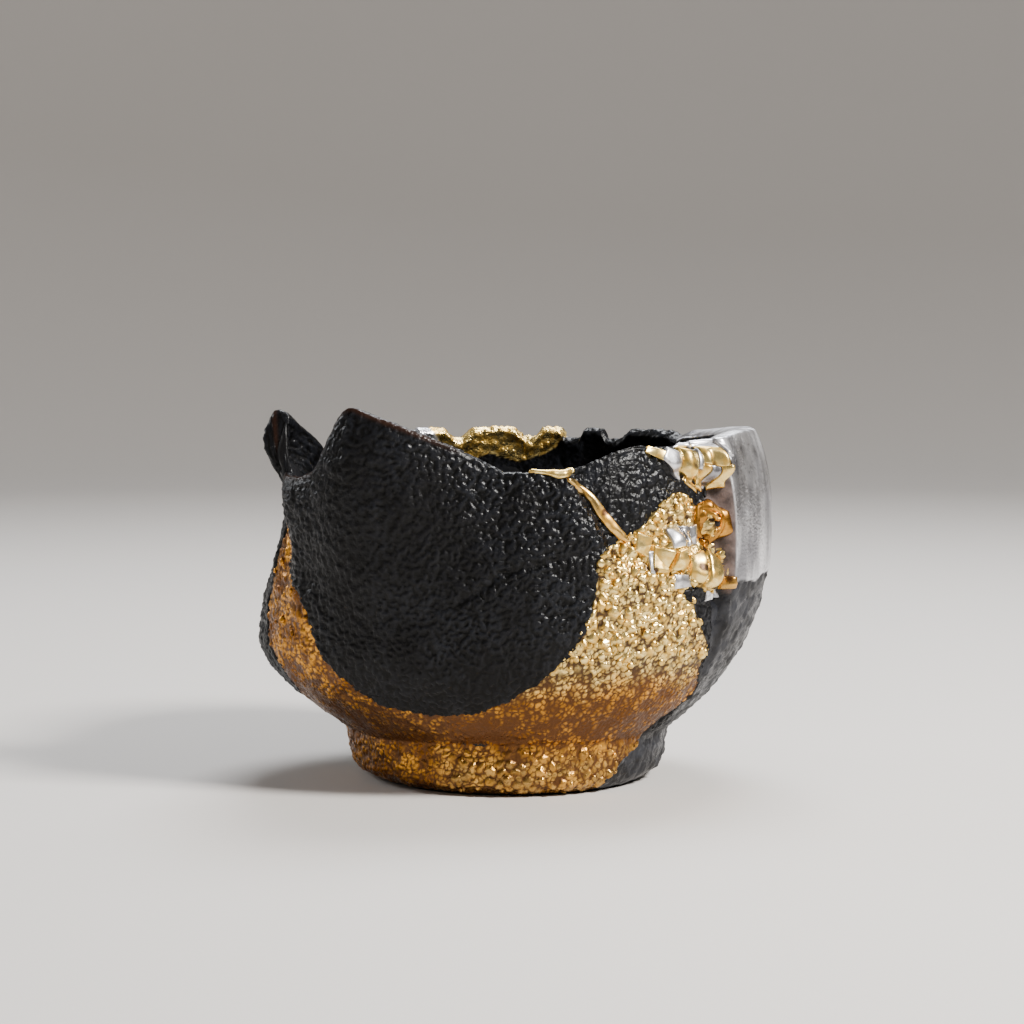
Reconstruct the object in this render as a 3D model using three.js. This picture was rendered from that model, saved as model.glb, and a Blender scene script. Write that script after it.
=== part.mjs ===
import * as THREE from 'three';
import { mergeVertices } from 'three/addons/utils/BufferGeometryUtils.js';

// Sake server: a hand-built stoneware pouring bowl with a beak, a torn rim and a proud slab at the right.
// Millimetres, +Z up. Angles go round the bowl in degrees: 0 is the front (-Y), 90 the right (+X).
// The beak points to the left and a little to the front, at beak.angle.

// Heights and the foot
const rimBase = 76;
const foot = {
  height: 12,
  recess: 2.6,
  recessRadius: 25.5,
  ringInner: 28,
  edge: 3.6,
  contact: { right: 31.4, left: 33.4, front: 34.4, back: 33.8 },
  low: { right: 34.4, left: 38.6, front: 38.6, back: 37.6 },
  top: { right: 37.6, left: 41.4, front: 38.0, back: 38.4 },
};

// The belly: its radius and height differ on the four sides
const belly = { right: 56.2, left: 61.9, front: 50.6, back: 50.4 };
const bellyHeight = { middle: 46, right: 12, front: -5 };
const lowCurve = { right: 3.4, left: 1.62, front: 2.1, back: 2.2 };
const highCurve = { right: 2.4, left: 1.5, front: 2.2, back: 2.2 };
const rimRadius = { right: 51.6, left: 46.8, front: 46.4, back: 46.8 };

// Walls
const wall = { body: 4.6, rim: 3.0, beak: 2.6 };
const floorHeight = 7.6;
const shoulderInside = 37;

// The beak: two wings with a notch between them, and a keel under it.
// Between low and high the pull grows from nothing, or from the keel's, to the whole reach
const beak = {
  angle: -58,
  reach: 13.4,
  keelReach: 4.6,
  farSide: { edge: -79, full: -68.5, low: 69, high: 85 },
  farInside: { edge: -77.5, full: -64.5 },
  farTurn: { angle: -72.5, half: 12, turn: 3.2 },
  middle: { low: 50, high: 74 },
  nearSide: { edge: -4, full: -44, low: 36, high: 90 },
  near: { foot: -51.5, crest: -38, end: -3, rise: 14.8 },
  far: { foot: -64.5, crest: -69.6, end: -81, rise: 13.2 },
  lipDrop: 1.7,
};

// The slab at the right stands proud of the front wall, behind a deep fissure
const slab = {
  start: 60.2,
  edge: 62.4,
  full: 86,
  fade: 100,
  end: 138,
  edgeProud: 3.2,
  proud: 5.8,
  low: 14,
  high: 60,
};
const fissure = { angle: 59.2, halfWidth: 2.4, depth: 2.6, low: 34, high: 48 };

// Folded clay along the fissure and the torn rim, and a lump of stone at the foot
const folds = [
  { angle: 46.5, z: 78.5, wide: 6.5, tall: 4.2, proud: 1.7 },
  { angle: 53.6, z: 77.6, wide: 4.2, tall: 5.4, proud: 2.3 },
  { angle: 59.4, z: 77.0, wide: 3.6, tall: 6.2, proud: 4.4 },
  { angle: 58.2, z: 63.4, wide: 3.6, tall: 6.4, proud: 3.4 },
  { angle: 44.4, z: 67.0, wide: 5.6, tall: 5.0, proud: 1.7 },
  { angle: 45.0, z: 57.4, wide: 6.4, tall: 5.2, proud: 2.2 },
  { angle: 54.0, z: 52.6, wide: 6.4, tall: 6.4, proud: 2.5 },
  { angle: 66.0, z: 6.0, wide: 24, tall: 5.5, proud: 0.8 },
];

// The sunken panel between the gold crack and the fissure
const panel = { depth: 2.0, low: 50, high: 57, crackTop: 13, crackFoot: 29, end: 57 };

// Lumps left standing on the torn back rim, and how low the rim is between them
const tear = { start: 118, end: 232, depth: 2.6 };
const rimLumps = [
  { angle: 134, half: 12 },
  { angle: 154, half: 5 },
  { angle: 168, half: 5 },
  { angle: 187, half: 11 },
  { angle: 208, half: 8 },
  { angle: 224, half: 7 },
];

// Mesh density: [from, to, columns] round the bowl, and rows from the foot to the rim and back down
const columns = [
  [-96, -82, 5],
  [-82, -36, 30],
  [-36, 12, 12],
  [12, 54, 12],
  [54, 66, 12],
  [66, 112, 10],
  [112, 236, 33],
  [236, 264, 4],
];
const outerRows = 22;
const innerRows = 9;
const bowlRows = 6;

const radians = Math.PI / 180;

function clamp01(x) {
  return Math.min(1, Math.max(0, x));
}

// A soft step from 0 at a to 1 at b
function ramp(x, a, b) {
  const s = clamp01((x - a) / (b - a));
  return s * s * (3 - 2 * s);
}

function mix(a, b, share) {
  return a + (b - a) * share;
}

// A soft hump, 1 at the centre and 0 at half a width away
function hump(x, centre, half) {
  return 1 - ramp(Math.abs(x - centre), 0, half);
}

// A value that runs smoothly through its four named sides
function around(sides, angle) {
  const s = Math.sin(angle * radians);
  const c = Math.cos(angle * radians);
  return (s > 0 ? sides.right : sides.left) * s * s + (c > 0 ? sides.front : sides.back) * c * c;
}

// The radius of an oval whose four half-axes differ
function oval(sides, angle) {
  const s = Math.sin(angle * radians) / (Math.sin(angle * radians) > 0 ? sides.right : sides.left);
  const c = Math.cos(angle * radians) / (Math.cos(angle * radians) > 0 ? sides.front : sides.back);
  return 1 / Math.hypot(s, c);
}

// Angles are kept between -180 and 180, so the beak is on the negative side
function wrap(angle) {
  return ((angle + 180) % 360 + 360) % 360 - 180;
}

// How far the rim stands above rimBase
function rimRise(angle) {
  const t = wrap(angle);
  const { near, far } = beak;
  const nearFall = clamp01((near.end - t) / (near.end - near.crest));
  const nearWing = near.rise * (t < near.crest ? ramp(t, near.foot, near.crest) : nearFall);
  const farFall = ramp(t, far.end, far.crest);
  const farWing = far.rise * (t > far.crest ? ramp(-t, -far.foot, -far.crest) : farFall);
  const lip = -beak.lipDrop * ramp(t, -68, -63) * (1 - ramp(t, -56, -48));
  const shoulder = 5.6 * ramp(t, 12, 38) + 2.4 * ramp(t, 54, 76);
  const rest = t > 0 ? shoulder - 2 * ramp(t, 95, 125) : 6 * (1 - ramp(t, -150, -100));
  return nearWing + farWing + lip + rest - tornBack(angle);
}

// How low the torn back rim is between its lumps
function tornBack(angle) {
  const round = angle - 360 * Math.floor(angle / 360);
  const torn = ramp(round, tear.start, tear.start + 10) * (1 - ramp(round, tear.end - 10, tear.end));
  const standing = rimLumps.map((lump) => {
    const away = Math.abs(round - lump.angle);
    return 1 - ramp(away, lump.half * 0.55, lump.half);
  });
  return tear.depth * torn * (1 - Math.max(...standing));
}

// How far the beak pulls the wall outwards. The corner of its far side lies elsewhere on the inside
function beakPull(angle, z, corner) {
  const t = wrap(angle);
  const { farSide, middle, nearSide } = beak;
  const side = t < beak.angle ? farSide : nearSide;
  const away = ramp(Math.abs(t - beak.angle), 1, t < beak.angle ? 14 : 20);
  const low = mix(middle.low, side.low, away);
  const high = mix(middle.high, side.high, away);
  const keelWidth = t < beak.angle ? 28 : 40;
  const keel = clamp01(1 - Math.abs(t - beak.angle) / keelWidth) ** 1.15;
  const mouth = ramp(t, corner.edge, corner.full) * (1 - ramp(t, nearSide.full, nearSide.edge));
  return mix(beak.keelReach * keel * ramp(z, 26, 58), beak.reach * mouth, ramp(z, low, high));
}

// The calm wall: foot, belly and shoulder with the beak, before the torn work at the right
function calmRadius(angle, base) {
  const low = around(foot.low, angle);
  const top = around(foot.top, angle);
  const wide = oval(belly, angle);
  const a = angle * radians;
  const wideHeight = bellyHeight.middle + bellyHeight.right * Math.sin(a) + bellyHeight.front * Math.cos(a);
  if (base < foot.height) {
    const edge = (low - around(foot.contact, angle)) * clamp01(1 - base / foot.edge) ** 2;
    return mix(low, top, base / foot.height) - edge;
  }
  if (base < wideHeight) {
    const share = (base - foot.height) / (wideHeight - foot.height);
    return mix(top, wide, 1 - (1 - share) ** around(lowCurve, angle));
  }
  const share = (base - wideHeight) / (rimBase - wideHeight);
  return mix(wide, oval(rimRadius, angle), share ** around(highCurve, angle));
}

// Height of a point whose base height is stretched or pressed to meet the rim
function heightAt(angle, base) {
  return base + rimRise(angle) * ramp(base / rimBase, 0.5, 1);
}

// A fold is a round-topped pad, lying on the wall
function foldProud(fold, t, z) {
  const away = Math.hypot((t - fold.angle) / fold.wide, (z - fold.z) / fold.tall);
  return fold.proud * (1 - ramp(away, 0.35, 1));
}

// The torn work at the right: the sunken panel, the fissure, the proud slab and the folds
function tornWork(angle, z) {
  const t = wrap(angle);
  const crack = mix(panel.crackFoot, panel.crackTop, (z - panel.low) / (rimBase - panel.low));
  const sunk = -panel.depth * ramp(t, crack, crack + 3) * (1 - ramp(t, panel.end, panel.end + 3));
  const dent = sunk * ramp(z, panel.low, panel.high);
  const split = -fissure.depth * hump(t, fissure.angle, fissure.halfWidth);
  const rise = slab.edgeProud * ramp(t, slab.start, slab.edge);
  const swell = (slab.proud - slab.edgeProud) * ramp(t, slab.edge, slab.full);
  const proud = (rise + swell) * (1 - ramp(t, slab.fade, slab.end));
  const folded = folds.map((fold) => foldProud(fold, t, z));
  const open = split * ramp(z, fissure.low, fissure.high);
  return dent + open + proud * ramp(z, slab.low, slab.high) + Math.max(...folded);
}

function place(radius, angle, z) {
  return new THREE.Vector3(radius * Math.sin(angle * radians), -radius * Math.cos(angle * radians), z);
}

function outerPoint(angle, base) {
  const z = heightAt(angle, base);
  return place(calmRadius(angle, base) + beakPull(angle, z, beak.farSide) + tornWork(angle, z), angle, z);
}

// The inside of the beak's far side is turned a little, so that the wall keeps its thickness there
function insideAngle(angle) {
  return angle + beak.farTurn.turn * hump(wrap(angle), beak.farTurn.angle, beak.farTurn.half);
}

// Radius and height on the calm wall, as the inside knows it
function calmSpot(angle, base) {
  const z = heightAt(angle, base);
  const turned = insideAngle(angle);
  return { radius: calmRadius(turned, base) + beakPull(turned, z, beak.farInside), z };
}

// The inside follows the calm wall at the wall's thickness
function innerPoint(angle, base) {
  const step = 0.5;
  const here = calmSpot(angle, base);
  const above = calmSpot(angle, base + step);
  const below = calmSpot(angle, base - step);
  const lean = Math.atan2(above.radius - below.radius, above.z - below.z);
  const nearBeak = hump(wrap(angle), beak.angle, 60);
  const top = mix(wall.rim, wall.beak, nearBeak);
  const thick = mix(wall.body, top, ramp(base, rimBase - 26, rimBase));
  return place(here.radius - thick * Math.cos(lean), insideAngle(angle), here.z + thick * Math.sin(lean));
}

function anglesRound() {
  const list = [];
  for (const [from, to, count] of columns) {
    for (let i = 0; i < count; i += 1) {
      list.push(mix(from, to, i / count));
    }
  }
  return list;
}

// One column of the skin, from the foot's edge up the outside, over the rim and down the inside
function column(angle) {
  const points = [];
  points.push(place(foot.recessRadius * 0.5, angle, foot.recess));
  points.push(place(foot.recessRadius, angle, foot.recess));
  points.push(place(foot.ringInner, angle, 0));
  for (let i = 0; i <= outerRows; i += 1) {
    const share = i / outerRows;
    points.push(outerPoint(angle, (rimBase - 1) * share));
  }
  const outside = points[points.length - 1];
  const inside = innerPoint(angle, rimBase - 1);
  const crest = outside.clone().add(inside).multiplyScalar(0.5);
  crest.z += 1;
  points.push(crest);
  for (let i = 0; i <= innerRows; i += 1) {
    points.push(innerPoint(angle, mix(rimBase - 1, shoulderInside, i / innerRows)));
  }
  const shoulder = points[points.length - 1];
  const reach = Math.hypot(shoulder.x, shoulder.y);
  for (let i = 1; i < bowlRows; i += 1) {
    const turn = Math.PI / 2 * (1 - i / bowlRows);
    const z = floorHeight + (shoulder.z - floorHeight) * (1 - Math.cos(turn));
    points.push(place(reach * Math.sin(turn), angle, z));
  }
  return points;
}

// The closed skin: columns joined side by side, with a centre point under the foot and one on the floor
function bowlGeometry() {
  const sides = anglesRound().map(column);
  const rows = sides[0].length;
  const positions = [];
  const faces = [];
  const under = 0;
  const inside = 1;
  positions.push(0, 0, foot.recess, 0, 0, floorHeight);
  for (const points of sides) {
    for (const p of points) {
      positions.push(p.x, p.y, p.z);
    }
  }
  for (let i = 0; i < sides.length; i += 1) {
    const left = 2 + i * rows;
    const right = 2 + ((i + 1) % sides.length) * rows;
    faces.push(under, right, left);
    for (let j = 0; j < rows - 1; j += 1) {
      faces.push(left + j, right + j + 1, left + j + 1);
      faces.push(left + j, right + j, right + j + 1);
    }
    faces.push(inside, left + rows - 1, right + rows - 1);
  }
  const geometry = new THREE.BufferGeometry();
  geometry.setAttribute('position', new THREE.Float32BufferAttribute(positions, 3));
  geometry.setIndex(faces);
  return mergeVertices(geometry, 1e-4);
}

// The origin is at the middle of the bowl's footprint, on the surface that it stands on
function centred(geometry) {
  geometry.computeBoundingBox();
  const middle = geometry.boundingBox.getCenter(new THREE.Vector3());
  geometry.translate(-middle.x, -middle.y, 0);
  geometry.computeVertexNormals();
  return geometry;
}

const stoneware = new THREE.MeshStandardMaterial({ color: 0x17161a, roughness: 0.42, metalness: 0.0 });
const body = new THREE.Mesh(centred(bowlGeometry()), stoneware);
body.name = 'server_body';

const server = new THREE.Group();
server.add(body);

export default server;
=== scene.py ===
# Sake server: a black stoneware pouring bowl, with gold and silver lustre over its torn side.
# Form and relief are worked out in millimetres and turned into metres when a mesh is made.
import math

import bpy
import numpy as np
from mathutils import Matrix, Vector


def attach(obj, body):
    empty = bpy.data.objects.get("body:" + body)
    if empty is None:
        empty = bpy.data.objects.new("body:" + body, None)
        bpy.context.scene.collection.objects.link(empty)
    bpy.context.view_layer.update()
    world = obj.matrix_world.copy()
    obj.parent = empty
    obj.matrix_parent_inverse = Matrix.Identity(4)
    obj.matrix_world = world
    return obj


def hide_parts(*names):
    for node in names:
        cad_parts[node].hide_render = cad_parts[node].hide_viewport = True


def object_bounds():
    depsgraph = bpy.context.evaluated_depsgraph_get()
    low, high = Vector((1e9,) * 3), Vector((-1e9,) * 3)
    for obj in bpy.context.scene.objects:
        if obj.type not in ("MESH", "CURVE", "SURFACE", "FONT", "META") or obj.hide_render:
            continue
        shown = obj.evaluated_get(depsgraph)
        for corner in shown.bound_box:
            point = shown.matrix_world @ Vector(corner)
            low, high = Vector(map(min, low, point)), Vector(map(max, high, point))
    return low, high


mm = 0.001
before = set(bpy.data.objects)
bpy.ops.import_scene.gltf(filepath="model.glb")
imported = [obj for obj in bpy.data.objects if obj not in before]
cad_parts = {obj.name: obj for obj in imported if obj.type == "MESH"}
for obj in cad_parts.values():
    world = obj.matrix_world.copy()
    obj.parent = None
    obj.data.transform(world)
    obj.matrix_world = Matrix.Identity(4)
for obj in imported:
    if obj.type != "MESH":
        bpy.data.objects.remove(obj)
cadLow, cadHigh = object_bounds()
boxLow, boxHigh = np.array(cadLow) / mm, np.array(cadHigh) / mm
print("stage: frame loaded")


# Small helpers

def ramp(x, a, b):  # a soft step from 0 at a to 1 at b
    s = np.clip((x - a) / (b - a), 0, 1)
    return s * s * (3 - 2 * s)


def hill(x, start, full, fade, end):  # up from 0 at start to 1, and down to 0 again at the end
    return ramp(x, start, full) * (1 - ramp(x, fade, end))


def mix(a, b, share):
    return a + (b - a) * share


def wrap(angle):  # keeps angles between -180 and 180
    return (angle + 180) % 360 - 180


def around(sides, angle):  # a value that runs smoothly through its four named sides
    s, c = np.sin(np.radians(angle)), np.cos(np.radians(angle))
    across = np.where(s > 0, sides["right"], sides["left"])
    along = np.where(c > 0, sides["front"], sides["back"])
    return across * s * s + along * c * c


def oval(sides, angle):  # the radius of an oval whose four half-axes differ
    s, c = np.sin(np.radians(angle)), np.cos(np.radians(angle))
    across = s / np.where(s > 0, sides["right"], sides["left"])
    along = c / np.where(c > 0, sides["front"], sides["back"])
    return 1 / np.hypot(across, along)


# Noise that gives the same values on every run

def cornerValue(at, seed):  # an even random value for each whole-numbered corner
    h = (at[:, 0] * 73856093) ^ (at[:, 1] * 19349663) ^ (at[:, 2] * 83492791) ^ (seed * 2654435761)
    h &= 0xFFFFFFFF
    h = ((h ^ (h >> 15)) * 2246822519) & 0xFFFFFFFF
    h = ((h ^ (h >> 13)) * 3266489917) & 0xFFFFFFFF
    return (h ^ (h >> 16)) / 4294967296.0


def softNoise(p, wave, seed=0):  # smooth noise about zero, mostly between -1 and 1
    q = p / wave
    home = np.floor(q).astype(np.int64)
    f = q - home
    s = f * f * f * (f * (f * 6 - 15) + 10)
    total = np.zeros(len(p))
    for corner in np.ndindex(2, 2, 2):
        at, off = home + corner, f - corner
        weight = np.prod(np.where(np.array(corner, bool), s, 1 - s), axis=1)
        for axis in range(3):
            total += weight * (2 * cornerValue(at, seed + 17 * axis) - 1) * off[:, axis]
    return total * 1.7


def lumps(p, size, seed=0):  # distance to the nearest and the next lump's middle, and the lump's own value
    q = p / size
    home = np.floor(q).astype(np.int64)
    first, second, own = np.full(len(p), 9.0), np.full(len(p), 9.0), np.zeros(len(p))
    for shift in np.ndindex(3, 3, 3):
        at = home + shift - 1
        offsets = np.stack([cornerValue(at, seed + axis) for axis in range(3)], 1)
        away = np.linalg.norm(q - at - offsets, axis=1)
        nearer = away < first
        second = np.where(nearer, first, np.minimum(second, away))
        own = np.where(nearer, offsets[:, 0], own)
        first = np.where(nearer, away, first)
    return first, second, own


def swirled(p, wave, amount, seed=0):  # points pushed about, so that patterns built on them lose their grid
    push = np.stack([softNoise(p, wave, seed + k) for k in (1, 2, 3)], 1)
    return p + push * amount


# The bowl's form, as the solid has it

rimBase = 76.0
foot = {
    "height": 12.0,
    "recess": 2.6,
    "recessRadius": 25.5,
    "ringInner": 28.0,
    "edge": 3.6,
    "contact": {"right": 31.4, "left": 33.4, "front": 34.4, "back": 33.8},
    "low": {"right": 34.4, "left": 38.6, "front": 38.6, "back": 37.6},
    "top": {"right": 37.6, "left": 41.4, "front": 38.0, "back": 38.4},
}
belly = {
    "wide": {"right": 56.2, "left": 61.9, "front": 50.6, "back": 50.4},
    "middle": 46.0,
    "rightRise": 12.0,
    "frontRise": -5.0,
    "lowCurve": {"right": 3.4, "left": 1.62, "front": 2.1, "back": 2.2},
    "highCurve": {"right": 2.4, "left": 1.5, "front": 2.2, "back": 2.2},
    "rim": {"right": 51.6, "left": 46.8, "front": 46.4, "back": 46.8},
}
wall = {"body": 4.6, "rim": 3.0, "beak": 2.6, "beakSpread": 60.0, "thinFrom": 50.0, "floor": 7.6,
        "shoulder": 37.0}
beak = {
    "angle": -58.0,
    "reach": 13.4,
    "keel": {"reach": 4.6, "far": 28.0, "near": 40.0, "power": 1.15, "low": 26.0, "high": 58.0},
    "spread": {"start": 1.0, "far": 14.0, "near": 20.0},
    "farSide": {"edge": -79.0, "full": -68.5, "low": 69.0, "high": 85.0},
    "farInside": {"edge": -77.5, "full": -64.5},
    "farTurn": {"angle": -72.5, "half": 12.0, "turn": 3.2},
    "middle": {"low": 50.0, "high": 74.0},
    "nearSide": {"edge": -4.0, "full": -44.0, "low": 36.0, "high": 90.0},
    "near": {"foot": -51.5, "crest": -38.0, "end": -3.0, "rise": 14.8},
    "far": {"foot": -64.5, "crest": -69.6, "end": -81.0, "rise": 13.2},
    "lipDrop": 1.7,
    "lipSpan": (-68.0, -63.0, -56.0, -48.0),
}
slab = {
    "start": 60.2,
    "edge": 62.4,
    "full": 86.0,
    "fade": 100.0,
    "end": 138.0,
    "edgeProud": 3.2,
    "proud": 5.8,
    "low": 14.0,
    "high": 60.0,
}
fissure = {"angle": 59.2, "half": 2.4, "depth": 2.6, "low": 34.0, "high": 48.0}
folds = [  # angle, height, half width in degrees, half height, how proud
    (46.5, 78.5, 6.5, 4.2, 1.7),
    (53.6, 77.6, 4.2, 5.4, 2.3),
    (59.4, 77.0, 3.6, 6.2, 4.4),
    (58.2, 63.4, 3.6, 6.4, 3.4),
    (44.4, 67.0, 5.6, 5.0, 1.7),
    (45.0, 57.4, 6.4, 5.2, 2.2),
    (54.0, 52.6, 6.4, 6.4, 2.5),
    (66.0, 6.0, 24.0, 5.5, 0.8),
]
panel = {"depth": 2.0, "low": 50.0, "high": 57.0, "crackTop": 13.0, "crackFoot": 29.0, "end": 57.0,
         "soft": 3.0}
rimSteps = [(5.6, 12, 38), (2.4, 54, 76), (-2.0, 95, 125)]  # the rim's steps at the right: rise, from, to
leftFall = {"rise": 6.0, "low": -150, "high": -100}
tear = {"span": (118.0, 128.0, 222.0, 232.0), "depth": 2.6}
rimLumps = [(134, 12), (154, 5), (168, 5), (187, 11), (208, 8), (224, 7)]  # angle, half width


def tornBack(angle):  # how low the torn back rim is between its lumps
    turn = np.mod(angle, 360)
    standing = np.zeros_like(turn)
    for centreAngle, half in rimLumps:
        standing = np.maximum(standing, 1 - ramp(np.abs(turn - centreAngle), half * 0.55, half))
    return tear["depth"] * hill(turn, *tear["span"]) * (1 - standing)


def rimRise(angle):  # how far the rim stands above rimBase
    t = wrap(angle)
    near, far = beak["near"], beak["far"]
    nearFall = np.clip((near["end"] - t) / (near["end"] - near["crest"]), 0, 1)
    nearWing = near["rise"] * np.where(t < near["crest"], ramp(t, near["foot"], near["crest"]), nearFall)
    farFoot = ramp(-t, -far["foot"], -far["crest"])
    farWing = far["rise"] * np.where(t > far["crest"], farFoot, ramp(t, far["end"], far["crest"]))
    lip = -beak["lipDrop"] * hill(t, *beak["lipSpan"])
    right = sum(rise * ramp(t, start, end) for rise, start, end in rimSteps)
    left = leftFall["rise"] * (1 - ramp(t, leftFall["low"], leftFall["high"]))
    return nearWing + farWing + lip + np.where(t > 0, right, left) - tornBack(angle)


def beakPull(angle, z, corner):  # how far the beak pulls the wall outwards
    t = wrap(angle)
    farSide, middle, nearSide = beak["farSide"], beak["middle"], beak["nearSide"]
    keel, spread = beak["keel"], beak["spread"]
    isFar = t < beak["angle"]
    offset = np.abs(t - beak["angle"])
    away = ramp(offset, spread["start"], np.where(isFar, spread["far"], spread["near"]))
    low = mix(middle["low"], np.where(isFar, farSide["low"], nearSide["low"]), away)
    high = mix(middle["high"], np.where(isFar, farSide["high"], nearSide["high"]), away)
    ridge = np.clip(1 - offset / np.where(isFar, keel["far"], keel["near"]), 0, 1) ** keel["power"]
    mouth = hill(t, corner["edge"], corner["full"], nearSide["full"], nearSide["edge"])
    under = keel["reach"] * ridge * ramp(z, keel["low"], keel["high"])
    return mix(under, beak["reach"] * mouth, ramp(z, low, high))


def calmRadius(angle, base):  # foot, belly and shoulder, before the beak and the torn work
    a = np.radians(angle)
    low, top = around(foot["low"], angle), around(foot["top"], angle)
    wide = oval(belly["wide"], angle)
    wideHeight = belly["middle"] + belly["rightRise"] * np.sin(a) + belly["frontRise"] * np.cos(a)
    edge = (low - around(foot["contact"], angle)) * np.clip(1 - base / foot["edge"], 0, 1) ** 2
    footPart = mix(low, top, base / foot["height"]) - edge
    lower = np.clip((base - foot["height"]) / (wideHeight - foot["height"]), 0, 1)
    lowPart = mix(top, wide, 1 - (1 - lower) ** around(belly["lowCurve"], angle))
    upper = np.clip((base - wideHeight) / (rimBase - wideHeight), 0, 1)
    highPart = mix(wide, oval(belly["rim"], angle), upper ** around(belly["highCurve"], angle))
    return np.where(base < foot["height"], footPart, np.where(base < wideHeight, lowPart, highPart))


def riseAt(angle, base):  # the upper half of the wall is stretched up to its rim
    return rimRise(angle) * ramp(base / rimBase, 0.5, 1)


def tornWork(angle, z):  # the sunken panel, the fissure, the proud slab and the folds
    t = wrap(angle)
    crack = mix(panel["crackFoot"], panel["crackTop"], (z - panel["low"]) / (rimBase - panel["low"]))
    sunk = hill(t, crack, crack + panel["soft"], panel["end"], panel["end"] + panel["soft"])
    dent = -panel["depth"] * sunk * ramp(z, panel["low"], panel["high"])
    split = -fissure["depth"] * (1 - ramp(np.abs(t - fissure["angle"]), 0, fissure["half"]))
    rise = slab["edgeProud"] * ramp(t, slab["start"], slab["edge"])
    swell = (slab["proud"] - slab["edgeProud"]) * ramp(t, slab["edge"], slab["full"])
    proud = (rise + swell) * (1 - ramp(t, slab["fade"], slab["end"]))
    folded = np.zeros_like(t)
    for foldAngle, height, wide, tall, lift in folds:
        away = np.hypot((t - foldAngle) / wide, (z - height) / tall)
        folded = np.maximum(folded, lift * (1 - ramp(away, 0.35, 1)))
    opened = split * ramp(z, fissure["low"], fissure["high"])
    return dent + opened + proud * ramp(z, slab["low"], slab["high"]) + folded


def place(radius, angle, z):
    a = np.radians(angle)
    return np.stack([radius * np.sin(a), -radius * np.cos(a), z], -1)


def outerPoint(angle, base):
    z = base + riseAt(angle, base)
    pull = beakPull(angle, z, beak["farSide"])
    return place(calmRadius(angle, base) + pull + tornWork(angle, z), angle, z)


def insideAngle(angle):  # the inside of the beak's far side is turned, so that the wall keeps its thickness
    farTurn = beak["farTurn"]
    return angle + farTurn["turn"] * (1 - ramp(np.abs(wrap(angle) - farTurn["angle"]), 0, farTurn["half"]))


def calmSpot(angle, base):  # radius and height on the calm wall, as the inside knows it
    z = base + riseAt(angle, base)
    turned = insideAngle(angle)
    return calmRadius(turned, base) + beakPull(turned, z, beak["farInside"]), z


def innerPoint(angle, base):  # the inside follows the calm wall at the wall's thickness
    step = 0.5
    radius, z = calmSpot(angle, base)
    radiusAbove, zAbove = calmSpot(angle, base + step)
    radiusBelow, zBelow = calmSpot(angle, base - step)
    lean = np.arctan2(radiusAbove - radiusBelow, zAbove - zBelow)
    nearBeak = 1 - ramp(np.abs(wrap(angle) - beak["angle"]), 0, wall["beakSpread"])
    top = mix(wall["rim"], wall["beak"], nearBeak)
    thick = mix(wall["body"], top, ramp(base, wall["thinFrom"], rimBase))
    return place(radius - thick * np.cos(lean), insideAngle(angle), z + thick * np.sin(lean))


# The wall as one sheet: s runs up the outside, over the rim and down the inside

rimStart = rimBase - 1
rimSpan = 4.2
rimEnd = rimStart + rimSpan
rimCrown = 1.0
centre = np.array([-0.0458, 0.1004, 0.0])  # puts the middle of the footprint on the axis


def sheetPoint(angle, s):
    base = np.where(s < rimStart, s, np.minimum(rimStart, rimStart + rimEnd - s))
    turn = math.pi * np.clip((s - rimStart) / rimSpan, 0, 1)
    point = mix(outerPoint(angle, base), innerPoint(angle, base), ((1 - np.cos(turn)) / 2)[..., None])
    point[..., 2] += rimCrown * np.sin(turn)
    return point + centre


def sheetNormal(angle, s):
    step = 0.35
    along = sheetPoint(angle + step, s) - sheetPoint(angle - step, s)
    up = sheetPoint(angle, s + step) - sheetPoint(angle, np.maximum(s - step, 0))
    normal = np.cross(along, up)
    return normal / (np.linalg.norm(normal, axis=-1, keepdims=True) + 1e-9)


# Zones of the finish, as closed outlines of (angle, height) on the outside

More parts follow.
